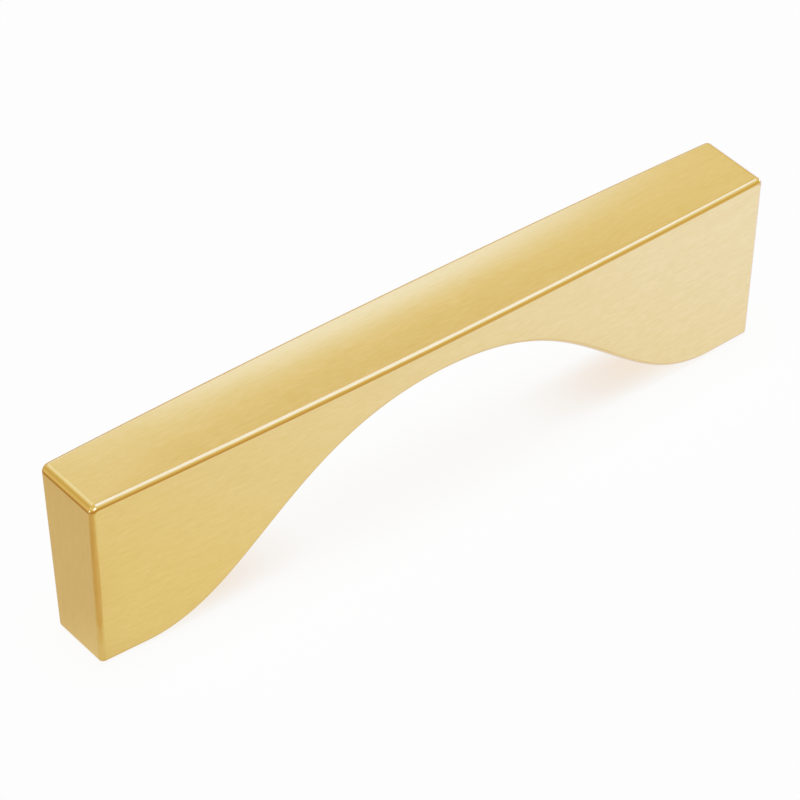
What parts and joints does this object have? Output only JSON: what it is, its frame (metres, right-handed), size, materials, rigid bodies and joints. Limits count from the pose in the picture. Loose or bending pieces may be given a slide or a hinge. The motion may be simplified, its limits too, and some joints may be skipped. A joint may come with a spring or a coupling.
{
  "type": "bar pull",
  "caption": "Arched bar pull for drawers and cabinet doors, cast whole, with gently bowed long faces, a softly domed top, rounded edges and a blind threaded hole in each flat foot; brushed brass finish.",
  "frame": {"origin": "middle of the mounting plane, halfway between the feet", "axes": "+X along the bar, -Y the front long face, +Z away from the door, from the feet to the top face"},
  "size_m": [0.14, 0.0164, 0.0346],
  "materials": {
    "brushed_brass": "brushed"
  },
  "bodies": {
    "root": {"pull_body": "brushed_brass"}
  },
  "joints": []
}
